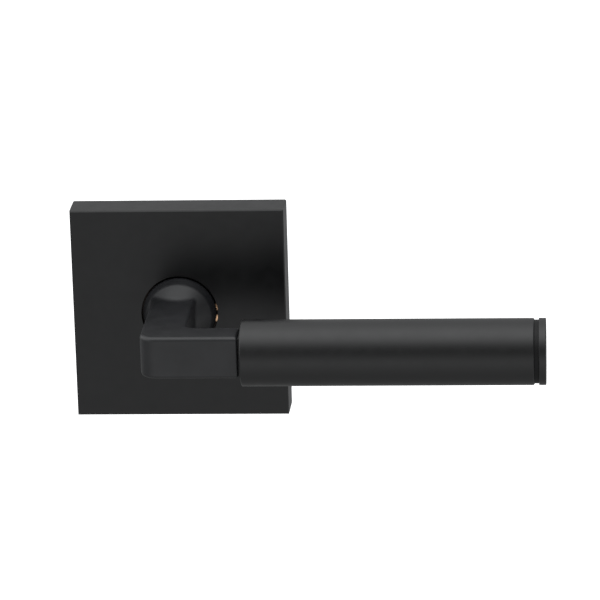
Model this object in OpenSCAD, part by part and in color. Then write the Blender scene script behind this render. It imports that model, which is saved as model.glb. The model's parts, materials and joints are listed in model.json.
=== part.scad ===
// Door lever handle on a square rose, one side of the door.
// The door's face is the plane y = 0 and the lever stands out towards -y.
// The spindle axis is the y axis, +z is up and the grip points to +x.

/* [Rose] */
// Width and height of the square rose
rose_w = 67; // [66:0.5:70]
// How far the rose stands out from the door
rose_t = 11.3; // [11.2:0.1:12]
// Wall of the rose cover's four sides
rose_wall = 1.6; // [1.4:0.1:1.8]
// How much each side leans in over the rose's depth
rose_draft = 0.22; // [0.1:0.02:0.4]
// Radius of the rose's four upright corners
rose_corner_r = 0.6; // [0.4:0.1:1]
// Bevel round the rose's front face
rose_edge = 0.35; // [0.2:0.05:0.6]
// Radius of the bore in the rose's front face
rose_bore_r = 12; // [11.8:0.1:12.4]

/* [Lever] */
// Radius of the collar that turns in the rose's bore
collar_r = 11.4; // [11.2:0.1:11.6]
// Radius of the drum's front, between the collar and the stem
drum_r = 10.4; // [10.3:0.1:10.8]
// Height of the drum above the rose's face
drum_t = 3.5; // [3:0.5:4]
// Height of the square bar
bar_h = 13; // [12.6:0.1:14]
// Distance from the door to the bar's front face
bar_front = 58.1; // [57.9:0.1:59]
// Distance from the spindle axis to the bar's outer side
bar_left = 7.9; // [7.6:0.1:8.6]
// Distance from the spindle axis to the bar's end
bar_end = 22; // [20:0.1:23]
// Radius of the bend's outer corner, seen from above
bend_r = 5; // [4:0.5:6]

/* [Grip] */
// Outer radius of the grip
grip_r = 10.1; // [9.8:0.1:10.6]
// Distance from the door to the grip's axis
grip_out = 52.6; // [52.4:0.1:52.8]
// Distance from the spindle axis to the grip's free end
grip_tip = 114.5; // [108:0.5:125]
// Gap between the bar and the grip
shadow_gap = 0.7; // [0.4:0.1:1]
// Width of the groove near the free end
groove_w = 1.3; // [1:0.1:2]
// Depth of the groove
groove_depth = 0.5; // [0.3:0.1:0.8]
// Thickness of the end cap
cap_t = 2.2; // [2:0.1:3]
// Wall of the grip tube
tube_wall = 2; // [1.8:0.1:2.2]

/* [Mechanism] */
// Turn of the lever from rest to its stop, in degrees
turn = 45; // [35:1:50]
// Width of the square spindle
spindle_w = 8; // [7.8:0.1:8.1]
// Length of spindle that stands into the door
spindle_reach = 45; // [30:1:60]
// Distance between the two fixing screws
screw_spacing = 38; // [38:0.1:38.4]
// Length of screw that stands into the door
screw_reach = 42; // [30:1:50]
// Radius of the fixing screws
screw_r = 2; // [1.8:0.1:2]
// Running clearance of the lever's journal, on the radius
running = 0.05; // [0.03:0.01:0.08]

/* [Hidden] */
$fn = 64;

// Finishes
satin_black = [0.07, 0.07, 0.075];
zinc = [0.62, 0.63, 0.65];
spring_steel = [0.35, 0.36, 0.38];
brass = [0.75, 0.55, 0.25];
nylon_black = [0.03, 0.03, 0.03];

// Overrun of a cutting tool past the face that it cuts
cut = 1;

// Heights above the door, from the door outwards
plate_t = 1.5;
circlip_d = 1.9;
circlip_t = 1;
shim_d = circlip_d + circlip_t;
shim_t = 0.3;
cam_d = shim_d + shim_t;
cam_t = 1.3;
cam_gap = 0.2;
bush_d = cam_d + cam_t + cam_gap;
housing_face_d = 7.7;
housing_d = 8.7;
flange_t = 0.5;
flange_gap = 0.1;
collar_d = housing_d + flange_t + flange_gap;
rose_face_t = 1.8;

// Mounting plate
plate_w = 60;
plate_corner_r = 3;
plate_bore_r = 11;
rivet_z = 21;
rivet_r = 1.5;
rivet_head_r = 2.6;
rivet_head_t = 1;

// Journal, bush and housing radii
journal_r = 9;
journal_d = 0.6;
journal_flat = 8;
groove_floor_r = 8.3;
bush_r = 10.2;
hub_r = 11;
housing_r = 15;
housing_in_r = 13.8;
ear_r = 5;
ear_t = 1;

// Return spring
coil_r = 12.35;
wire_r = 0.6;
coil_turns = 1.5;
coil_start_gap = 0.15;
coil_end_gap = 0.05;
coil_start_d = cam_d + cam_t + coil_start_gap + wire_r;
coil_end_d = housing_face_d - wire_r - coil_end_gap;
tail_rear_inset = 0.2;
tail_front_inset = 0.3;
tail_rear_d = cam_d + tail_rear_inset;
tail_front_d = housing_d - tail_front_inset;
tail_angle = -60;
tail_bend = 0.5;
tail_bend_angle = 4;
tail_hole_fit = 0.15;
tail_hole_r = wire_r + tail_hole_fit;
wire_sides = 8;
coil_steps = 44;

// Stop pin and its slot in the cam
pin_r = 1;
pin_orbit = 12.4;
pin_angle = 90;
pin_inset = 0.1;
cam_r = 13.5;
slot_fit = 0.1;
slot_in_r = pin_orbit - pin_r - slot_fit;
slot_slack = 0.5;
pin_half_angle = asin(pin_r / pin_orbit);

// Cover clips
clip_z = 18;
clip_w = 8;
clip_t = 0.6;
clip_root_x = 25;
clip_rivet_x = 27.6;
clip_rivet_r = 1.2;
clip_rivet_head_r = 2;
clip_rivet_head_t = 0.8;
clip_top_d = 7.5;
cover_in = rose_w / 2 - rose_wall;

// Fixing screws and their washers
washer_t = 0.6;
washer_r = 3.6;
washer_fit = 0.1;
plate_hole_fit = 0.2;
neck_relief = 0.1;
screw_neck_r = screw_r - neck_relief;
screw_head_r = 3.4;
screw_head_t = 2.4;
recess_w = 1;
recess_l = 3.8;
recess_depth = 1.3;

// Spindle and its socket in the lever
spindle_fit = 0.1;
spindle_corner_r = 5.2;
socket_d = 25;
spindle_gap = 1;
clamp_d = 17.5;
clamp_r = 2.4;
clamp_fit = 0.05;
clamp_tip = spindle_w / 2;
clamp_head = 6.6;
hex_af = 2.5;
hex_depth = 1.5;

// Drum, the cone above it, stem and bar
drum_d = rose_t + drum_t;
cone_angle = 56;
cone_top_r = 5;
cone_t = (drum_r - cone_top_r) * tan(cone_angle);
stem_sink = 0.5;
stem_foot_d = drum_d - stem_sink;
bar_back_inset = 0.1;
bar_back = 2 * grip_out - bar_front + bar_back_inset;
stem_right = 5.5;
inner_bend_r = 3;
spigot_r = 4.2;
spigot_l = 16.5;
gasket_inset = 0.6;

// Grip
grip_x = bar_end + shadow_gap;
cap_x = grip_tip - cap_t;
ring_x = cap_x - groove_w;
tube_in_r = grip_r - tube_wall;
edge_r = 0.5;
plug_l = 20;
ring_plug_l = 4;
stem_r = 4;
stem_l = 8;
rod_r = 2.5;
rod_inset = 6;
cap_floor = 1;
rod_start = grip_x + rod_inset;
rod_end = cap_x - cap_floor;

// Turns a shape drawn flat on the door so that its height stands out from the door.
// The flat drawing's x and y are the part's x and z.
module from_door(distance = 0) {
    rotate([90, 0, 0])
        translate([0, 0, distance])
            children();
}

// Stands a round shape along the grip's axis, its foot at the given x
module along_grip(x) {
    translate([x, -grip_out, 0])
        rotate([0, 90, 0])
            children();
}

// Flat square with round corners
module rounded_square(width, radius) {
    square([width, width - 2 * radius], center = true);
    square([width - 2 * radius, width], center = true);
    for (sx = [-1, 1], sy = [-1, 1])
        translate([sx * (width / 2 - radius), sy * (width / 2 - radius)])
            circle(radius);
}

// Flat ring
module ring(outer, inner, height) {
    difference() {
        cylinder(r = outer, h = height);
        translate([0, 0, -cut])
            cylinder(r = inner, h = height + 2 * cut);
    }
}

// Half section of a round bar with rounded ends, as x = radius and y = length
module round_bar_section(radius, length, edge) {
    square([radius - edge, length]);
    translate([0, edge])
        square([radius, length - 2 * edge]);
    for (y = [edge, length - edge])
        translate([radius - edge, y])
            circle(edge);
}

// Block whose four sides lean in and whose front edge is bevelled, on one axis
module draft_prism() {
    half = rose_w / 2;
    front = half - rose_draft;
    rotate([90, 0, 0])
        linear_extrude(rose_w + 2 * cut, center = true)
            polygon([
                [-half, 0], [half, 0],
                [front, rose_t - rose_edge], [front - rose_edge, rose_t],
                [rose_edge - front, rose_t], [-front, rose_t - rose_edge]
            ]);
}

module rose_cover() {
    color(satin_black)
        from_door()
            difference() {
                intersection() {
                    linear_extrude(rose_t)
                        rounded_square(rose_w, rose_corner_r);
                    draft_prism();
                    rotate([0, 0, 90])
                        draft_prism();
                }
                translate([0, 0, -cut])
                    linear_extrude(rose_t - rose_face_t + cut)
                        rounded_square(2 * cover_in, rose_corner_r);
                cylinder(r = rose_bore_r, h = rose_t + cut);
            }
}

module mounting_plate() {
    color(zinc)
        from_door()
            difference() {
                linear_extrude(plate_t)
                    rounded_square(plate_w, plate_corner_r);
                translate([0, 0, -cut]) {
                    cylinder(r = plate_bore_r, h = plate_t + 2 * cut);
                    for (side = [-1, 1]) {
                        translate([side * screw_spacing / 2, 0, 0])
                            cylinder(r = screw_r + plate_hole_fit, h = plate_t + 2 * cut);
                        translate([0, side * rivet_z, 0])
                            cylinder(r = rivet_r, h = plate_t + 2 * cut);
                        for (up = [-1, 1])
                            translate([side * clip_rivet_x, up * clip_z, 0])
                                cylinder(r = clip_rivet_r, h = plate_t + 2 * cut);
                    }
                    rotate([0, 0, pin_angle])
                        translate([pin_orbit, 0, 0])
                            cylinder(r = pin_r, h = plate_t + 2 * cut);
                }
            }
}

// Cup open towards the door, with a bearing tube inside and two riveting ears.
// It is black because its face shows in the gap round the collar.
module spring_housing() {
    color(satin_black)
        from_door(plate_t)
            difference() {
                union() {
                    difference() {
                        union() {
                            cylinder(r = housing_r, h = housing_d - plate_t);
                            translate([-ear_r, -rivet_z, 0])
                                cube([2 * ear_r, 2 * rivet_z, ear_t]);
                            for (up = [-1, 1])
                                translate([0, up * rivet_z, 0])
                                    cylinder(r = ear_r, h = ear_t);
                        }
                        translate([0, 0, -cut])
                            cylinder(r = housing_in_r, h = housing_face_d - plate_t + cut);
                    }
                    translate([0, 0, bush_d - plate_t])
                        cylinder(r = hub_r, h = housing_d - bush_d);
                }
                translate([0, 0, -cut])
                    cylinder(r = bush_r, h = housing_d + 2 * cut);
                for (up = [-1, 1])
                    translate([0, up * rivet_z, -cut])
                        cylinder(r = rivet_r, h = ear_t + 2 * cut);
                rotate([0, 0, tail_angle + 360 * coil_turns])
                    translate([coil_r, 0, housing_face_d - plate_t - cut])
                        cylinder(r = tail_hole_r, h = housing_d - housing_face_d + 2 * cut);
            }
}

// Rivet with a low round head, its shank ending flush with the plate's back
module rivet(radius, grip, head_r, head_t) {
    cylinder(r = radius, h = grip + cut / 2);
    translate([0, 0, grip])
        cylinder(r = head_r, h = head_t);
}

module housing_rivets() {
    color(zinc)
        from_door()
            for (up = [-1, 1])
                translate([0, up * rivet_z, 0])
                    rivet(rivet_r, plate_t + ear_t, rivet_head_r, rivet_head_t);
}

module bearing_bush() {
    color(brass)
        from_door(bush_d)
            difference() {
                union() {
                    cylinder(r = bush_r, h = housing_d - bush_d);
                    translate([0, 0, housing_d - bush_d])
                        cylinder(r = rose_bore_r - flange_gap, h = flange_t);
                }
                translate([0, 0, -cut])
                    cylinder(r = journal_r + running, h = housing_d - bush_d + flange_t + 2 * cut);
            }
}

// Centre line of the spring's wire, from its rear tail through the coil to its front tail
function on_coil(angle, distance) = [coil_r * cos(angle), coil_r * sin(angle), distance];
coil_turn = 360 * coil_turns;
coil_path = concat(
    [on_coil(tail_angle, tail_rear_d), on_coil(tail_angle, coil_start_d - tail_bend)],
    [for (i = [0:coil_steps])
        let (
            t = i / coil_steps,
            angle = tail_angle + tail_bend_angle + (coil_turn - 2 * tail_bend_angle) * t
        )
        on_coil(angle, coil_start_d + (coil_end_d - coil_start_d) * t)],
    [on_coil(tail_angle + coil_turn, coil_end_d + tail_bend), on_coil(tail_angle + coil_turn, tail_front_d)]
);

// Direction of the wire at point i of a path
function heading(path, i) =
    let (d = path[min(i + 1, len(path) - 1)] - path[max(i - 1, 0)])
    d / norm(d);

// Corners of the wire's cross-section at point i of a path that winds round the z axis
function wire_ring(path, i) =
    let (
        p = path[i],
        outward = [p.x, p.y, 0] / norm([p.x, p.y]),
        across = cross(heading(path, i), outward),
        flat = across / norm(across)
    )
    [for (k = [0:wire_sides - 1])
        let (a = 360 * k / wire_sides)
        p + wire_r * (cos(a) * outward + sin(a) * flat)];

// Round wire along a path
module wire(path) {
    last = len(path) - 1;
    points = [for (i = [0:last]) each wire_ring(path, i)];
    sides = [for (i = [0:last - 1], k = [0:wire_sides - 1])
        let (a = i * wire_sides + k, b = i * wire_sides + (k + 1) % wire_sides)
        [b, a, a + wire_sides, b + wire_sides]];
    first_cap = [for (k = [0:wire_sides - 1]) k];
    last_cap = [for (k = [0:wire_sides - 1]) last * wire_sides + wire_sides - 1 - k];
    polyhedron(points, concat([first_cap], sides, [last_cap]));
}

module return_spring() {
    color(spring_steel)
        from_door()
            wire(coil_path);
}

module stop_pin() {
    color(spring_steel)
        from_door()
            rotate([0, 0, pin_angle])
                translate([pin_orbit, 0, 0])
                    cylinder(r = pin_r, h = cam_d + cam_t - pin_inset);
}

// Spring clips on the plate, each pressing on the inside of the cover's wall
module cover_clips() {
    color(spring_steel)
        from_door(plate_t)
            for (side = [0, 180], up = [-1, 1])
                rotate([0, 0, side])
                    translate([0, up * clip_z, 0])
                        difference() {
                            union() {
                                translate([clip_root_x, -clip_w / 2, 0])
                                    cube([cover_in - clip_root_x, clip_w, clip_t]);
                                translate([cover_in - clip_t, -clip_w / 2, 0])
                                    cube([clip_t, clip_w, clip_top_d - plate_t]);
                            }
                            translate([clip_rivet_x, 0, -cut])
                                cylinder(r = clip_rivet_r, h = clip_t + 2 * cut);
                        }
}

module clip_rivets() {
    color(zinc)
        from_door()
            for (side = [-1, 1], up = [-1, 1])
                translate([side * clip_rivet_x, up * clip_z, 0])
                    rivet(clip_rivet_r, plate_t + clip_t, clip_rivet_head_r, clip_rivet_head_t);
}

module fixing_screws() {
    color(zinc)
        for (side = [-1, 1])
            translate([side * screw_spacing / 2, 0, 0]) {
                from_door(-screw_reach)
                    cylinder(r = screw_r, h = screw_reach);
                from_door(-cut / 2)
                    cylinder(r = screw_neck_r, h = plate_t + washer_t + cut);
                from_door(plate_t + washer_t)
                    difference() {
                        cylinder(r = screw_head_r, h = screw_head_t);
                        for (angle = [0, 90])
                            rotate([0, 0, angle])
                                translate([-recess_l / 2, -recess_w / 2, screw_head_t - recess_depth])
                                    cube([recess_l, recess_w, recess_depth + cut]);
                    }
            }
}

module lock_washers() {
    color(spring_steel)
        for (side = [-1, 1])
            translate([side * screw_spacing / 2, 0, 0])
                from_door(plate_t)
                    ring(washer_r, screw_r + washer_fit, washer_t);
}

// Round base of the lever: journal, collar, drum and cone
module lever_base() {
    from_door(journal_d)
        cylinder(r = journal_r, h = collar_d - journal_d + cut / 2);
    from_door(collar_d)
        cylinder(r = collar_r, h = rose_t - collar_d);
    from_door(rose_t)
        cylinder(r1 = collar_r, r2 = drum_r, h = drum_t);
    from_door(drum_d)
        cylinder(r1 = drum_r, r2 = cone_top_r, h = cone_t);
}

// Plan of the stem and the bar, as x and the distance from the door
module arm_plan() {
    difference() {
        union() {
            translate([-bar_left, stem_foot_d])
                square([bar_left + stem_right, bar_front - bend_r - stem_foot_d]);
            translate([bend_r - bar_left, bar_back])
                square([bar_end + bar_left - bend_r, bar_front - bar_back]);
            translate([bend_r - bar_left, bar_front - bend_r])
                circle(bend_r);
            translate([0, bar_back - inner_bend_r])
                square([stem_right + inner_bend_r, inner_bend_r + cut]);
        }
        translate([stem_right + inner_bend_r, bar_back - inner_bend_r])
            circle(inner_bend_r);
    }
}

// Stem and bar: the stem's foot lies inside the drum
module stem_and_bar() {
    mirror([0, 1, 0])
        linear_extrude(bar_h, center = true)
            arm_plan();
}

module lever_arm() {
    color(satin_black)
        difference() {
            union() {
                lever_base();
                stem_and_bar();
                along_grip(bar_end - cut / 2)
                    cylinder(r = spigot_r, h = spigot_l + cut / 2);
            }
            // Flats that key the drive cam to the journal
            for (side = [-1, 1])
                from_door(journal_d - cut)
                    translate([-journal_r, side * (journal_flat + journal_r / 2) - journal_r / 2, 0])
                        cube([2 * journal_r, journal_r, cam_d + cam_t - journal_d + cut]);
            // Circlip groove
            from_door(circlip_d)
                ring(journal_r + cut, groove_floor_r, circlip_t);
            // Square socket for the spindle
            from_door(journal_d - cut)
                translate([-spindle_w / 2 - spindle_fit, -spindle_w / 2 - spindle_fit, 0])
                    cube([
                        spindle_w + 2 * spindle_fit,
                        spindle_w + 2 * spindle_fit,
                        socket_d - journal_d + cut
                    ]);
            // Clamp screw's hole under the cone
            translate([0, -clamp_d, -2 * drum_r])
                cylinder(r = clamp_r + clamp_fit, h = 2 * drum_r);
            // Tapped hole for the tie rod
            along_grip(rod_start)
                cylinder(r = rod_r, h = spigot_l);
        }
}

// Disc keyed to the journal: it winds the spring and its slot meets the stop pin
module drive_cam() {
    color(zinc)
        from_door(cam_d)
            difference() {
                cylinder(r = cam_r, h = cam_t);
                intersection() {
                    translate([0, 0, -cut])
                        cylinder(r = journal_r + running, h = cam_t + 2 * cut);
                    cube([4 * journal_r, 2 * journal_flat + 2 * running, 4 * cam_t], center = true);
                }
                rotate([0, 0, pin_angle - pin_half_angle - slot_slack])
                    translate([0, 0, -cut])
                        rotate_extrude(angle = turn + 2 * (pin_half_angle + slot_slack))
                            translate([slot_in_r, 0])
                                square([cam_r, cam_t + 2 * cut]);
                rotate([0, 0, tail_angle])
                    translate([coil_r, 0, -cut])
                        cylinder(r = tail_hole_r, h = cam_t + 2 * cut);
            }
}

module shim_washer() {
    color(spring_steel)
        from_door(shim_d)
            ring(bush_r, journal_r + running, shim_t);
}

// Open ring in the journal's groove, with an eye at each end for the pliers
module circlip() {
    width = 1.6;
    mouth = 5;
    eye_r = 1.3;
    eye_hole_r = 0.5;
    eye_orbit = groove_floor_r + eye_r;
    eye_angle = 24;
    color(spring_steel)
        from_door(circlip_d)
            difference() {
                union() {
                    ring(groove_floor_r + width, groove_floor_r, circlip_t);
                    for (side = [-1, 1])
                        rotate([0, 0, -90 + side * eye_angle])
                            translate([eye_orbit, 0, 0])
                                cylinder(r = eye_r, h = circlip_t);
                }
                translate([0, 0, -cut])
                    cylinder(r = groove_floor_r, h = circlip_t + 2 * cut);
                translate([-mouth / 2, -2 * groove_floor_r, -cut])
                    cube([mouth, 2 * groove_floor_r, circlip_t + 2 * cut]);
                for (side = [-1, 1])
                    rotate([0, 0, -90 + side * eye_angle])
                        translate([eye_orbit, 0, -cut])
                            cylinder(r = eye_hole_r, h = circlip_t + 2 * cut);
            }
}

module spindle() {
    color(zinc)
        intersection() {
            translate([-spindle_w / 2, spindle_gap - socket_d, -spindle_w / 2])
                cube([spindle_w, socket_d - spindle_gap + spindle_reach, spindle_w]);
            from_door(-2 * spindle_reach)
                cylinder(r = spindle_corner_r, h = 2 * spindle_reach + socket_d);
        }
}

module clamp_screw() {
    color(zinc)
        translate([0, -clamp_d, -clamp_head])
            difference() {
                cylinder(r = clamp_r, h = clamp_head - clamp_tip);
                translate([0, 0, -cut])
                    cylinder(d = hex_af / cos(30), h = hex_depth + cut, $fn = 6);
            }
}

// Thin black packing that sets the grip off from the bar's end
module grip_gasket() {
    depth = bar_front - bar_back - 2 * gasket_inset;
    height = bar_h - 2 * gasket_inset;
    color(nylon_black)
        difference() {
            translate([bar_end, gasket_inset - bar_front, -height / 2])
                cube([shadow_gap, depth, height]);
            along_grip(bar_end - cut)
                cylinder(r = spigot_r, h = shadow_gap + 2 * cut);
        }
}

// Sleeve between the bar's spigot and the tube, black because its end shows in the gap
module grip_plug() {
    color(satin_black)
        along_grip(grip_x)
            ring(tube_in_r, spigot_r, plug_l);
}

module grip_tube() {
    length = ring_x - grip_x;
    color(satin_black)
        along_grip(grip_x)
            difference() {
                rotate_extrude()
                    round_bar_section(grip_r, length, edge_r);
                translate([0, 0, -cut])
                    cylinder(r = tube_in_r, h = length + 2 * cut);
            }
}

module tie_rod() {
    color(zinc)
        along_grip(rod_start)
            cylinder(r = rod_r, h = rod_end - rod_start);
}

// Shouldered plug that closes the tube and leaves the groove in front of the cap
module groove_ring() {
    color(satin_black)
        along_grip(ring_x)
            difference() {
                union() {
                    cylinder(r = grip_r - groove_depth, h = groove_w);
                    translate([0, 0, -ring_plug_l])
                        cylinder(r = tube_in_r, h = ring_plug_l + cut / 2);
                }
                translate([0, 0, -ring_plug_l - cut])
                    cylinder(r = stem_r, h = ring_plug_l + groove_w + 2 * cut);
            }
}

module end_cap() {
    color(satin_black)
        along_grip(cap_x)
            difference() {
                union() {
                    rotate_extrude()
                        round_bar_section(grip_r, cap_t, edge_r / 2);
                    translate([0, 0, -stem_l])
                        cylinder(r = stem_r, h = stem_l + cut / 2);
                }
                translate([0, 0, -stem_l - cut])
                    cylinder(r = rod_r, h = stem_l - cap_floor + cut);
            }
}

rose_cover();
mounting_plate();
spring_housing();
housing_rivets();
bearing_bush();
return_spring();
stop_pin();
cover_clips();
clip_rivets();
fixing_screws();
lock_washers();
lever_arm();
drive_cam();
shim_washer();
circlip();
spindle();
clamp_screw();
grip_gasket();
grip_plug();
grip_tube();
tie_rod();
groove_ring();
end_cap();
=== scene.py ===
"""Door lever handle on a square rose: materials, the smooth lever arm, lights and camera."""
import json
import math

import bpy
import numpy as np
from mathutils import Matrix, Vector


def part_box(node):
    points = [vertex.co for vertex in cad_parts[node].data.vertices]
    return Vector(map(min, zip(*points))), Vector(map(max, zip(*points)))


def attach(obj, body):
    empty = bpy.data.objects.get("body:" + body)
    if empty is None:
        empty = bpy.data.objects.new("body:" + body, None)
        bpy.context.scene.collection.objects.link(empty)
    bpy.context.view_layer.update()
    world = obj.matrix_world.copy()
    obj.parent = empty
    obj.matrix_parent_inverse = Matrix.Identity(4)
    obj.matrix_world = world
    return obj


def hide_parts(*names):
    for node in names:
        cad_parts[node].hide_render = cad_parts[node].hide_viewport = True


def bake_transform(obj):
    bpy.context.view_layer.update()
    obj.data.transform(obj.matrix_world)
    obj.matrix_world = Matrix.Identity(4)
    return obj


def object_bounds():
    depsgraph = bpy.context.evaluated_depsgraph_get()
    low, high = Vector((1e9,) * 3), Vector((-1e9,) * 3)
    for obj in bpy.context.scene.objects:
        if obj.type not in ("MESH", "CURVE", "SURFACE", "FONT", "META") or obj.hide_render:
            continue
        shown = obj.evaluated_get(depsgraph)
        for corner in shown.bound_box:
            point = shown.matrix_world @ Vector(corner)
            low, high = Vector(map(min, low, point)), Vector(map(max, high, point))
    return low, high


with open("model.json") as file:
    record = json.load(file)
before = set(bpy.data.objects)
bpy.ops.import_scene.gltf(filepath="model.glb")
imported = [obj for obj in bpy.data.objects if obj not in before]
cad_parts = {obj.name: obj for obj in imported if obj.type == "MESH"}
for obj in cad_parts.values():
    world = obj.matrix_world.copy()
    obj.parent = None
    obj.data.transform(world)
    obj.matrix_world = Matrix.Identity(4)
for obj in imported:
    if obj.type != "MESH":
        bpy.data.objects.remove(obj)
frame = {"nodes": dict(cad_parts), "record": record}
cad_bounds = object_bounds()

MM = 0.001


# ---------------------------------------------------------------- node helpers

class Graph:
    """A material's node tree, with short calls to add and join nodes."""

    def __init__(self, name):
        self.material = bpy.data.materials.new(name)
        self.material.use_nodes = True
        self.nodes = self.material.node_tree.nodes
        self.links = self.material.node_tree.links
        self.shader = self.nodes["Principled BSDF"]

    def add(self, kind, **settings):
        node = self.nodes.new(kind)
        for key, value in settings.items():
            setattr(node, key, value)
        return node

    def join(self, source, target):
        self.links.new(source, target)

    def place(self):
        """Object coordinates, which stay on the piece in every view and pose."""
        return self.add("ShaderNodeTexCoord").outputs["Object"]

    def noise(self, scale, detail=3.0, stretch=(1, 1, 1)):
        """Noise of about `scale` cycles per metre, stretched along the axes."""
        mapping = self.add("ShaderNodeMapping")
        mapping.inputs["Scale"].default_value = stretch
        self.join(self.place(), mapping.inputs["Vector"])
        noise = self.add("ShaderNodeTexNoise")
        noise.inputs["Scale"].default_value = scale
        noise.inputs["Detail"].default_value = detail
        noise.inputs["Roughness"].default_value = 0.55
        self.join(mapping.outputs["Vector"], noise.inputs["Vector"])
        return noise.outputs["Fac"]

    def ramp(self, fac, low, high, start=0.0, end=1.0):
        """A colour that runs from low to high as fac goes from start to end."""
        ramp = self.add("ShaderNodeValToRGB")
        ramp.color_ramp.elements[0].position = start
        ramp.color_ramp.elements[1].position = end
        for element, value in zip(ramp.color_ramp.elements, (low, high)):
            element.color = (*value, 1)
        self.join(fac, ramp.inputs["Fac"])
        return ramp.outputs["Color"]

    def span(self, fac, low, high, start=0.0, end=1.0):
        """fac from start..end mapped onto low..high."""
        node = self.add("ShaderNodeMapRange")
        for key, value in (("From Min", start), ("From Max", end), ("To Min", low), ("To Max", high)):
            node.inputs[key].default_value = value
        self.join(fac, node.inputs["Value"])
        return node.outputs["Result"]

    def bump(self, height, strength, distance):
        node = self.add("ShaderNodeBump")
        node.inputs["Strength"].default_value = strength
        node.inputs["Distance"].default_value = distance
        self.join(height, node.inputs["Height"])
        self.join(node.outputs["Normal"], self.shader.inputs["Normal"])


# ---------------------------------------------------------------- materials

def satin_black(name, rough=0.34, level=0.5, shade=1.0):
    """Black coat over metal: a soft sheen with fine orange peel and faint mottling."""
    g = Graph(name)
    mottle = g.noise(90, detail=4)
    # shade scales the coat's colour; above 1 it is painted light
    deep = tuple(shade * value for value in (0.0012, 0.0013, 0.0015))
    pale = tuple(shade * value for value in (0.0026, 0.0027, 0.0031))
    g.join(g.ramp(mottle, deep, pale, 0.3, 0.7), g.shader.inputs["Base Color"])
    sheen = g.span(g.noise(260, detail=3), rough, rough + 0.06, 0.3, 0.7)
    g.join(sheen, g.shader.inputs["Roughness"])
    g.shader.inputs["Metallic"].default_value = 0.0
    g.shader.inputs["IOR"].default_value = 1.5
    g.shader.inputs["Specular IOR Level"].default_value = level
    g.bump(g.noise(2600, detail=2), 0.05, 0.00002)
    return g.material


def bare_metal(name, dark, light, rough):
    """Plated or oiled metal with a fine grain."""
    g = Graph(name)
    grain = g.noise(1400, detail=4)
    g.join(g.ramp(grain, dark, light, 0.3, 0.7), g.shader.inputs["Base Color"])
    g.join(g.span(g.noise(500, detail=3), rough - 0.06, rough + 0.08, 0.3, 0.7),
           g.shader.inputs["Roughness"])
    g.shader.inputs["Metallic"].default_value = 1.0
    g.bump(grain, 0.08, 0.00003)
    return g.material


def packing(name):
    """Dull black nylon with a fine grain."""
    g = Graph(name)
    g.join(g.ramp(g.noise(900), (0.004, 0.004, 0.004), (0.009, 0.009, 0.009)),
           g.shader.inputs["Base Color"])
    g.join(g.span(g.noise(1500), 0.6, 0.75), g.shader.inputs["Roughness"])
    g.bump(g.noise(3000), 0.1, 0.00003)
    return g.material


def brass_gap_shade_and_glints(name):
    """Bearing brass painted dark as shade in the running gap, with two bright bare-metal spots on the grip's
    side painted where glints fall.
    """
    middle, apart = math.radians(-2), math.radians(9)
    glint_half, glint_fade_half = math.radians(2.5), math.radians(6)
    g = Graph(name)
    split = g.add("ShaderNodeSeparateXYZ")
    g.join(g.place(), split.inputs[0])
    angle = g.add("ShaderNodeMath", operation="ARCTAN2")
    g.join(split.outputs["Z"], angle.inputs[0])
    g.join(split.outputs["X"], angle.inputs[1])
    off = g.add("ShaderNodeMath", operation="SUBTRACT")
    off.inputs[1].default_value = middle
    g.join(angle.outputs[0], off.inputs[0])
    away = g.add("ShaderNodeMath", operation="ABSOLUTE")
    g.join(off.outputs[0], away.inputs[0])
    beside = g.add("ShaderNodeMath", operation="SUBTRACT")
    beside.inputs[1].default_value = apart
    g.join(away.outputs[0], beside.inputs[0])
    spot = g.add("ShaderNodeMath", operation="ABSOLUTE")
    g.join(beside.outputs[0], spot.inputs[0])
    # Mask of the two painted glints; the dark colour around them is painted shade
    glint_spot = g.span(spot.outputs[0], 1, 0, glint_half, glint_fade_half)
    g.join(g.ramp(glint_spot, (0.012, 0.010, 0.009), (0.95, 0.60, 0.36)), g.shader.inputs["Base Color"])
    g.join(g.span(g.noise(1500), 0.2, 0.35), g.shader.inputs["Roughness"])
    g.shader.inputs["Metallic"].default_value = 1.0
    g.bump(g.noise(1800, stretch=(0.3, 1, 1)), 0.1, 0.00003)
    return g.material


BLACK = satin_black("black_finish")
ROSE_BLACK = satin_black("rose_finish", rough=0.28, level=0.36)
# The arm's copy of the black coat is four times lighter: painted light on the stem and dome
ARM_BLACK_PAINTED_LIGHT = satin_black("arm_finish_painted_light", rough=0.40, shade=4.0)
GROOVE_BLACK = satin_black("groove_finish", rough=0.5, level=0.25)
ZINC = bare_metal("zinc_steel", (0.50, 0.51, 0.53), (0.66, 0.67, 0.69), 0.30)
STEEL = bare_metal("spring_steel", (0.20, 0.205, 0.22), (0.32, 0.325, 0.34), 0.34)
# Brass bush: painted shade in the gap, with two painted glints
BRASS_GAP_SHADE_AND_GLINTS = brass_gap_shade_and_glints("brass")
PACKING = packing("packing")
BY_SLOT = {
    "black_finish": BLACK, "zinc_steel": ZINC, "spring_steel": STEEL, "brass": BRASS_GAP_SHADE_AND_GLINTS, "packing": PACKING,
}


def set_material(obj, material):
    obj.data.materials.clear()
    obj.data.materials.append(material)


for part in frame["record"]["subparts"]:
    set_material(frame["nodes"][part["node"]], BY_SLOT[part["material_slot"]])
set_material(frame["nodes"]["rose_cover"], ROSE_BLACK)
set_material(frame["nodes"]["groove_ring"], GROOVE_BLACK)


# ---------------------------------------------------------------- lever arm

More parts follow.
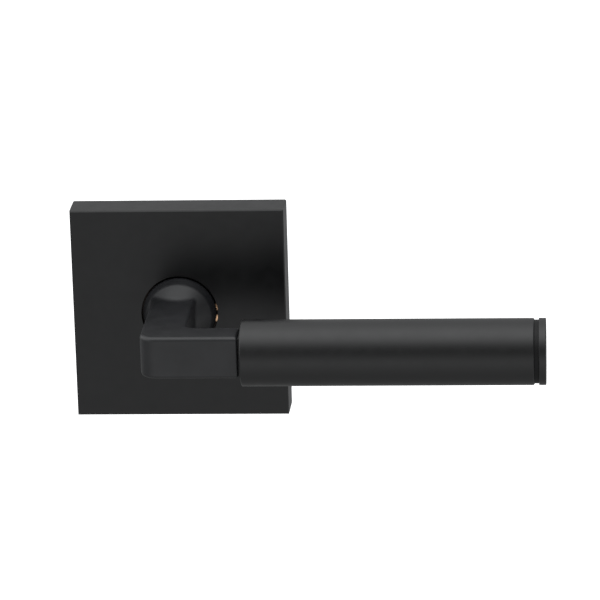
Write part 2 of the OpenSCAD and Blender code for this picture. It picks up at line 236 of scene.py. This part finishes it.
# Every length in this section is in millimetres; d is the distance from the door, so d = -y.
base_lo, base_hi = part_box("lever_arm")
rose_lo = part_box("rose_cover")[0]
clamp_lo, clamp_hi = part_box("clamp_screw")
rod_lo, rod_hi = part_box("tie_rod")
grip_lo, grip_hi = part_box("grip_tube")
ROSE_T = -rose_lo.y / MM
BAR_FRONT = -base_lo.y / MM
JOURNAL_D = -base_hi.y / MM
COLLAR_R = base_hi.z / MM
GRIP_OUT = -(grip_lo.y + grip_hi.y) / 2 / MM
BAR_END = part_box("grip_gasket")[0].x / MM
SPIGOT_END = base_hi.x / MM
CAM_TOP = -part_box("drive_cam")[0].y / MM
CLIP_D = [-v.y / MM for v in reversed(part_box("circlip"))]
SPINDLE_FIT, CLAMP_FIT = 0.1, 0.05
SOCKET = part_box("spindle")[1].x / MM + SPINDLE_FIT
ROD_START = rod_lo.x / MM
ROD_R = (rod_hi.z - rod_lo.z) / 2 / MM
CLAMP_D = -(clamp_lo.y + clamp_hi.y) / 2 / MM
CLAMP_R = clamp_hi.x / MM + CLAMP_FIT

DRUM_R, DRUM_T = 10.4, 3.5
DRUM_D = ROSE_T + DRUM_T
DRUM_TAPER = math.atan2(COLLAR_R - DRUM_R, DRUM_D - ROSE_T)
CONE_ANGLE = math.radians(56)
CONE_T, CONE_TOP_ROUND = 9.5, 3.0
CONE_TOP_D = DRUM_D + CONE_T
COLLAR_T = 2.0
COLLAR_D = ROSE_T - COLLAR_T
BAR_HALF_H = 6.5
BAR_LEFT, STEM_RIGHT = 7.9, 5.5
BAR_BACK_INSET = 0.1
BAR_BACK = 2 * GRIP_OUT - BAR_FRONT + BAR_BACK_INSET
BEND_R = 5.0
INNER_BLEND = 4.0
EDGE_R = 1.2
BACK_EDGE_R = 1.0
END_EDGE_R = 0.5
STEM_BLEND = 0.8
DRUM_EDGE = 0.15
JOURNAL_R, GROOVE_FLOOR_R, JOURNAL_FLAT = 9.0, 8.3, 8.0
SPIGOT_R = 4.2
SOCKET_END = 25.0
# How far one shape runs into the next, and a length that is larger than any here
SUNK, FAR = 1.0, 50.0


def smooth_min(a, b, k):
    """Union of two shapes with a fillet of about 0.85 k."""
    h = np.clip(k - np.abs(a - b), 0, None) / k
    return np.minimum(a, b) - h * h * k / 4


def smooth_max(a, b, k):
    return -smooth_min(-a, -b, k)


def round_max(a, b, radius):
    """Intersection of two shapes whose shared edge is a true arc of this radius."""
    qa, qb = a + radius, b + radius
    outside = np.hypot(np.maximum(qa, 0), np.maximum(qb, 0))
    return outside + np.minimum(np.maximum(qa, qb), 0) - radius


def slab(v, lo, hi):
    return np.maximum(lo - v, v - hi)


def arm_distance(p):
    """Distance-like value at each point of an n by 3 array (x, d, z): below 0 inside the lever arm."""
    x, d, z = p[:, 0], p[:, 1], p[:, 2]
    r = np.hypot(x, z)
    # Stem and bar, square in section, with a round bend
    outer = round_max(-BAR_LEFT - x, d - BAR_FRONT, BEND_R)
    outer = round_max(outer, x - BAR_END, END_EDGE_R)
    outer = round_max(outer, np.abs(z) - BAR_HALF_H, EDGE_R)
    inner = smooth_min(x - STEM_RIGHT, BAR_BACK - d, INNER_BLEND)
    inner = round_max(inner, np.abs(z) - BAR_HALF_H, BACK_EDGE_R)
    arm = np.maximum(np.maximum(outer, inner), DRUM_D - d)
    # Drum on the collar, and the cone that leads from it to the stem
    cone = (r - DRUM_R) * math.sin(CONE_ANGLE) + (d - DRUM_D) * math.cos(CONE_ANGLE)
    cone = smooth_max(cone, d - CONE_TOP_D, CONE_TOP_ROUND)
    skirt = (r - DRUM_R) * math.cos(DRUM_TAPER) + (d - DRUM_D) * math.sin(DRUM_TAPER)
    drum = round_max(skirt, cone, DRUM_EDGE)
    arm = smooth_min(arm, drum, STEM_BLEND)
    arm = np.maximum(arm, COLLAR_D - d)
    arm = np.maximum(arm, r - COLLAR_R - np.where(d < ROSE_T + SUNK, 0, FAR))
    journal = np.maximum(r - JOURNAL_R, slab(d, JOURNAL_D, COLLAR_D + SUNK))
    journal = np.maximum(journal, np.minimum(np.abs(z) - JOURNAL_FLAT, CAM_TOP - d))
    groove = np.maximum(GROOVE_FLOOR_R - r, slab(d, CLIP_D[0], CLIP_D[1]))
    journal = np.maximum(journal, -groove)
    spigot = np.maximum(np.hypot(d - GRIP_OUT, z) - SPIGOT_R, slab(x, BAR_END - 2 * SUNK, SPIGOT_END))
    arm = np.minimum(np.minimum(arm, journal), spigot)
    # Spindle socket, clamp screw's hole and the tie rod's tapped hole
    socket = np.maximum(np.maximum(np.abs(x), np.abs(z)) - SOCKET, d - SOCKET_END)
    clamp = np.maximum(np.hypot(x, d - CLAMP_D) - CLAMP_R, z)
    rod = np.maximum(np.hypot(d - GRIP_OUT, z) - ROD_R, ROD_START - x)
    for hole in (socket, clamp, rod):
        arm = np.maximum(arm, -hole)
    return arm


def surface(distance, lo, hi, step):
    """Points and quads of the surface where distance is 0, with one point per crossed grid cell."""
    counts = [int(math.ceil((b - a) / step)) + 1 for a, b in zip(lo, hi)]
    axes = [lo[i] + step * np.arange(counts[i]) for i in range(3)]
    grid = np.stack(np.meshgrid(*axes, indexing="ij"), -1).reshape(-1, 3)
    value = distance(grid).reshape(counts)
    inside = value < 0
    cells = tuple(n - 1 for n in counts)
    total = np.zeros(cells + (3,))
    hits = np.zeros(cells)
    corner = [slice(0, -1), slice(1, None)]
    for axis in range(3):
        others = [i for i in range(3) if i != axis]
        for a in (0, 1):
            for b in (0, 1):
                near, far = [None] * 3, [None] * 3
                near[axis], far[axis] = corner
                near[others[0]] = far[others[0]] = corner[a]
                near[others[1]] = far[others[1]] = corner[b]
                v0, v1 = value[tuple(near)], value[tuple(far)]
                crossed = (v0 < 0) != (v1 < 0)
                t = np.where(crossed, v0 / np.where(crossed, v0 - v1, 1), 0)
                total[..., axis] += np.where(crossed, t, 0)
                total[..., others[0]] += np.where(crossed, a, 0)
                total[..., others[1]] += np.where(crossed, b, 0)
                hits += crossed
    used = hits > 0
    index = np.full(cells, -1)
    index[used] = np.arange(used.sum())
    where = np.argwhere(used)
    points = np.array(lo) + step * (where + total[used] / hits[used][:, None])
    faces = []
    for axis in range(3):
        u, v = [i for i in range(3) if i != axis]
        near, far = [slice(1, -1)] * 3, [slice(1, -1)] * 3
        near[axis], far[axis] = corner
        a, b = inside[tuple(near)], inside[tuple(far)]
        edges = np.argwhere(a != b)
        flipped = b[tuple(edges.T)]
        edges[:, u] += 1
        edges[:, v] += 1
        quad = []
        for du, dv in ((-1, -1), (0, -1), (0, 0), (-1, 0)):
            cell = edges.copy()
            cell[:, u] += du
            cell[:, v] += dv
            quad.append(index[tuple(cell.T)])
        quad = np.stack(quad, -1)
        if axis == 1:
            flipped = ~flipped
        quad[flipped] = quad[flipped][:, ::-1]
        faces.append(quad)
    return points, np.concatenate(faces)


def gradient(distance, p, h=0.01):
    """Numerical slope of distance at each point."""
    slope = np.empty_like(p)
    for axis in range(3):
        offset = np.zeros(3)
        offset[axis] = h
        slope[:, axis] = (distance(p + offset) - distance(p - offset)) / (2 * h)
    return slope


def pull_onto(distance, p, reach, rounds):
    """Moves points along the slope until they lie on the surface, at most reach a round."""
    for _ in range(rounds):
        slope = gradient(distance, p)
        length2 = np.maximum((slope ** 2).sum(1), 0.05)
        move = -(distance(p) / length2)[:, None] * slope
        size = np.linalg.norm(move, axis=1, keepdims=True)
        p = p + move * np.minimum(1, reach / np.maximum(size, 1e-9))
    return p


def even_out(points, faces, rounds, distance, reach):
    """Evens the spacing of the points and puts them back on the surface."""
    for _ in range(rounds):
        total = np.zeros_like(points)
        count = np.zeros(len(points))
        for k in range(4):
            a, b = faces[:, k], faces[:, (k + 1) % 4]
            for src, dst in ((a, b), (b, a)):
                for axis in range(3):
                    total[:, axis] += np.bincount(dst, points[src, axis], len(points))
                count += np.bincount(dst, minlength=len(points))
        points = 0.5 * points + 0.5 * total / count[:, None]
        points = pull_onto(distance, points, reach, 2)
    return points


def mesh_object(name, points, faces, normals=None):
    """A mesh object from points in metres in the row frame."""
    mesh = bpy.data.meshes.new(name)
    mesh.from_pydata(points.tolist(), [], faces.tolist())
    mesh.validate()
    mesh.update()
    mesh.polygons.foreach_set("use_smooth", [True] * len(mesh.polygons))
    obj = bpy.data.objects.new(name, mesh)
    bpy.context.scene.collection.objects.link(obj)
    if normals is not None:
        mesh.normals_split_custom_set_from_vertices(normals.tolist())
    return obj


def make_arm():
    step = 0.45
    pad = 3 * step
    lo = [base_lo.x / MM - pad, JOURNAL_D - pad, base_lo.z / MM - pad]
    hi = [SPIGOT_END + pad, BAR_FRONT + pad, base_hi.z / MM + pad]
    points, faces = surface(arm_distance, lo, hi, step)
    points = pull_onto(arm_distance, points, step / 2, 4)
    points = even_out(points, faces, 3, arm_distance, step / 2)
    slope = gradient(arm_distance, points)
    slope /= np.maximum(np.linalg.norm(slope, axis=1, keepdims=True), 1e-6)
    to_row = np.array([1, -1, 1])
    arm = mesh_object("lever_arm_smooth", points * to_row * MM, faces[:, ::-1], slope * to_row)
    set_material(arm, ARM_BLACK_PAINTED_LIGHT)
    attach(arm, "lever")
    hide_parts("lever_arm")


make_arm()


# ---------------------------------------------------------------- turned and wound parts

def quads_between(rows, sides):
    """Quads that join each ring of points to the next."""
    row, k = np.meshgrid(np.arange(rows - 1), np.arange(sides), indexing="ij")
    a, b = row * sides + k, row * sides + (k + 1) % sides
    return np.stack([a, b, b + sides, a + sides], -1).reshape(-1, 4)


def tube_along(path, radius, sides):
    """Points and quads of a round wire along a path of n by 3 points that winds round the spindle axis."""
    step = np.gradient(path, axis=0)
    step /= np.linalg.norm(step, axis=1, keepdims=True)
    outward = path * [1, 0, 1]
    outward = outward - (outward * step).sum(1, keepdims=True) * step
    outward /= np.linalg.norm(outward, axis=1, keepdims=True)
    across = np.cross(step, outward)
    turn = np.linspace(0, 2 * math.pi, sides, endpoint=False)
    points = (path[:, None] + radius * (np.cos(turn)[None, :, None] * outward[:, None]
                                        + np.sin(turn)[None, :, None] * across[:, None])).reshape(-1, 3)
    return points, quads_between(len(path), sides)


def close_ends(points, faces, sides):
    """Adds a fan of quads to each end of a tube, with a point in the middle."""
    last = len(points) - sides
    points = np.vstack([points, points[:sides].mean(0), points[last:].mean(0)])
    front, back = len(points) - 2, len(points) - 1
    caps = []
    for k in range(0, sides, 2):
        caps.append([front, (k + 2) % sides, k + 1, k])
        caps.append([back, last + k, last + k + 1, last + (k + 2) % sides])
    return points, np.vstack([faces, caps])


def make_spring():
    """Smooth return spring: its rear tail turns with the lever and its front tail stays with the rose."""
    lo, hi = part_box("return_spring")
    wire, radius, turns = 0.6, 12.35, 1.5
    housing_wall, rear_gap, front_gap = 1.0, 0.15, 0.05
    coil_points, tail_points, sides = 300, 10, 16
    tail_bend, bend = 0.5, math.radians(4)
    rear_d, front_d = -hi.y / MM, -lo.y / MM
    start_d = CAM_TOP + rear_gap + wire
    end_d = -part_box("spring_housing")[0].y / MM - housing_wall - wire - front_gap
    first = math.radians(-60)
    last = first + turns * 2 * math.pi

    def on_coil(angles, distances):
        return np.stack([radius * np.cos(angles), distances, radius * np.sin(angles)], 1)

    def tail(angle, d0, d1):
        return on_coil(np.full(tail_points, angle), np.linspace(d0, d1, tail_points))

    angles = first + bend + (turns * 2 * math.pi - 2 * bend) * np.linspace(0, 1, coil_points)
    coil = on_coil(angles, np.linspace(start_d, end_d, coil_points))
    path = np.vstack([tail(first, rear_d, start_d - tail_bend), coil,
                      tail(last, end_d + tail_bend, front_d)])
    path[:, 1] *= -1
    for _ in range(3):
        path[1:-1] = (path[:-2] + 2 * path[1:-1] + path[2:]) / 4
    points, faces = close_ends(*tube_along(path, wire, sides), sides)
    spring = mesh_object("return_spring_wound", points * MM, faces)
    set_material(spring, STEEL)
    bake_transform(spring)
    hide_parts("return_spring")


def make_threads():
    """Thread on the part of each fixing screw that stands into the door.

    Its root lies inside the screw's plain cylinder and its crest stands a little proud of it.
    """
    lo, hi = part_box("fixing_screws")
    head_r = (hi.z - lo.z) / 2 / MM
    centre_x = hi.x / MM - head_r
    foot, crest, pitch = 1.82, 2.17, 0.7
    foot_half, crest_half = 0.30, 0.05
    start, end_gap, per_turn = 6.0, 1.2, 28
    profile = ((foot, -foot_half), (crest, -crest_half), (crest, crest_half), (foot, foot_half))
    sides = len(profile)
    count = int((hi.y / MM - end_gap - start) / pitch * per_turn)
    steps = np.arange(count)
    turn = steps * 2 * math.pi / per_turn
    along = start + steps * pitch / per_turn
    fade = np.clip(np.minimum(steps, steps[::-1]) / per_turn, 0, 1)
    for side, name in ((-1, "left"), (1, "right")):
        lines = []
        for radius, shift in profile:
            r = foot + (radius - foot) * fade
            x = side * centre_x + r * np.cos(turn)
            lines.append(np.stack([x, along + shift * pitch, r * np.sin(turn)], 1))
        points = np.stack(lines, 1).reshape(-1, 3)
        faces = quads_between(count, sides)[:, [1, 0, 3, 2]]
        points, faces = close_ends(points, faces, sides)
        thread = mesh_object("screw_thread_" + name, points * MM, faces)
        set_material(thread, ZINC)
        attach(thread, "rose")


make_spring()
make_threads()


# ---------------------------------------------------------------- stage, light, camera

def make_floor(height):
    """Plain pale floor, wide enough to fill the view."""
    mesh = bpy.data.meshes.new("floor")
    half = 6.0
    corners = [(x * half, y * half, height) for x, y in ((-1, -1), (1, -1), (1, 1), (-1, 1))]
    mesh.from_pydata(corners, [], [(0, 1, 2, 3)])
    floor = bpy.data.objects.new("floor", mesh)
    bpy.context.scene.collection.objects.link(floor)
    g = Graph("floor")
    g.join(g.ramp(g.noise(3), (0.50, 0.50, 0.50), (0.52, 0.52, 0.52)), g.shader.inputs["Base Color"])
    g.shader.inputs["Roughness"].default_value = 0.9
    g.shader.inputs["Emission Color"].default_value = (1, 1, 1, 1)
    g.shader.inputs["Emission Strength"].default_value = 0.75
    mesh.materials.append(g.material)
    floor.visible_glossy = False
    floor.visible_diffuse = False


scene = bpy.context.scene
scene.view_settings.view_transform = "Standard"
scene.view_settings.look = "None"

FLOOR_DROP = 0.22
centre = (Vector(cad_bounds[0]) + Vector(cad_bounds[1])) / 2
make_floor(cad_bounds[0][2] - FLOOR_DROP)


def make_world(bands, left, right):
    """Soft light all round, as (height angle in degrees, brightness) from the front over the top to the back.

    0 is level in front of the handle, 90 straight up, 180 level behind the door and -90 straight down.
    Far out to the sides the brightness goes over to left and right, each a level below and a level above.
    """
    side_start, side_end = 0.35, 0.95
    world = bpy.data.worlds.new("studio")
    world.use_nodes = True
    nodes, links = world.node_tree.nodes, world.node_tree.links

    def math_node(operation, a, b=None):
        node = nodes.new("ShaderNodeMath")
        node.operation = operation
        for socket, value in zip(node.inputs, (a, b)):
            if isinstance(value, (int, float)):
                socket.default_value = value
            elif value is not None:
                links.new(value, socket)
        return node.outputs[0]

    def map_range(source, low, high, kind="LINEAR"):
        node = nodes.new("ShaderNodeMapRange")
        node.interpolation_type = kind
        node.inputs["From Min"].default_value = low
        node.inputs["From Max"].default_value = high
        links.new(source, node.inputs["Value"])
        return node.outputs["Result"]

    def mix(fac, a, b):
        """a where fac is 0, b where it is 1."""
        step = math_node("SUBTRACT", b, a)
        return math_node("ADD", math_node("MULTIPLY", fac, step), a)

    split = nodes.new("ShaderNodeSeparateXYZ")
    links.new(nodes.new("ShaderNodeTexCoord").outputs["Generated"], split.inputs[0])
    along, height = split.outputs["X"], split.outputs["Z"]
    angle = math_node("ARCTAN2", height, math_node("MULTIPLY", split.outputs["Y"], -1))
    ramp = nodes.new("ShaderNodeValToRGB")
    ramp.color_ramp.interpolation = "B_SPLINE"
    stops = ramp.color_ramp.elements
    while len(stops) > 1:
        stops.remove(stops[-1])
    top = max(level for _, level in bands)
    stops[0].position = 0
    for degrees, level in sorted(bands):
        stop = stops.new((degrees + 180) / 360)
        stop.color = (level / top, level / top, level / top, 1)
    stops.remove(stops[0])
    links.new(map_range(angle, -math.pi, math.pi), ramp.inputs["Fac"])
    level = math_node("MULTIPLY", ramp.outputs["Color"], top)
    upper = map_range(height, -0.15, 0.3, "SMOOTHSTEP")
    to_right = map_range(along, side_start, side_end, "SMOOTHSTEP")
    level = mix(to_right, level, mix(upper, *right))
    to_left = map_range(math_node("MULTIPLY", along, -1), side_start, side_end, "SMOOTHSTEP")
    level = mix(to_left, level, mix(upper, *left))
    links.new(level, nodes["Background"].inputs["Strength"])
    nodes["Background"].inputs["Color"].default_value = (0.98, 0.99, 1.0, 1)
    scene.world = world


make_world([
    (-179, 0.32), (-150, 0.30), (-115, 0.28), (-90, 0.40), (-65, 0.52), (-35, 0.78), (-17, 1.15),
    (0, 0.62), (18, 0.15), (35, 0.38), (52, 1.4), (72, 2.5),
    (92, 2.3), (115, 1.2), (140, 0.66), (163, 0.45), (179, 0.35),
], left=(0.35, 1.6), right=(0.8, 0.3))

# The camera looks a little down and from the grip's side, through a long lens.
VIEW_TURN, VIEW_DOWN, VIEW_ROLL = math.radians(4.29), math.radians(16.75), math.radians(-1.586)
VIEW_DISTANCE, VIEW_LENS, SENSOR_WIDTH = 1.2558, 240, 36
VIEW_SHIFT = Vector((-0.0036, 0, 0.0007))
aim = Vector((centre.x, 0, centre.z)) + VIEW_SHIFT
back = Vector((math.sin(VIEW_TURN) * math.cos(VIEW_DOWN), -math.cos(VIEW_TURN) * math.cos(VIEW_DOWN),
               math.sin(VIEW_DOWN)))
camera_data = bpy.data.cameras.new("camera")
camera_data.lens = VIEW_LENS
camera_data.sensor_width = SENSOR_WIDTH
camera_data.clip_start, camera_data.clip_end = 0.05, 30
camera = bpy.data.objects.new("camera", camera_data)
camera.location = aim + back * VIEW_DISTANCE
camera.rotation_euler = ((-back).to_track_quat("-Z", "Y").to_matrix()
                         @ Matrix.Rotation(VIEW_ROLL, 3, "Z")).to_euler()
scene.collection.objects.link(camera)
scene.camera = camera
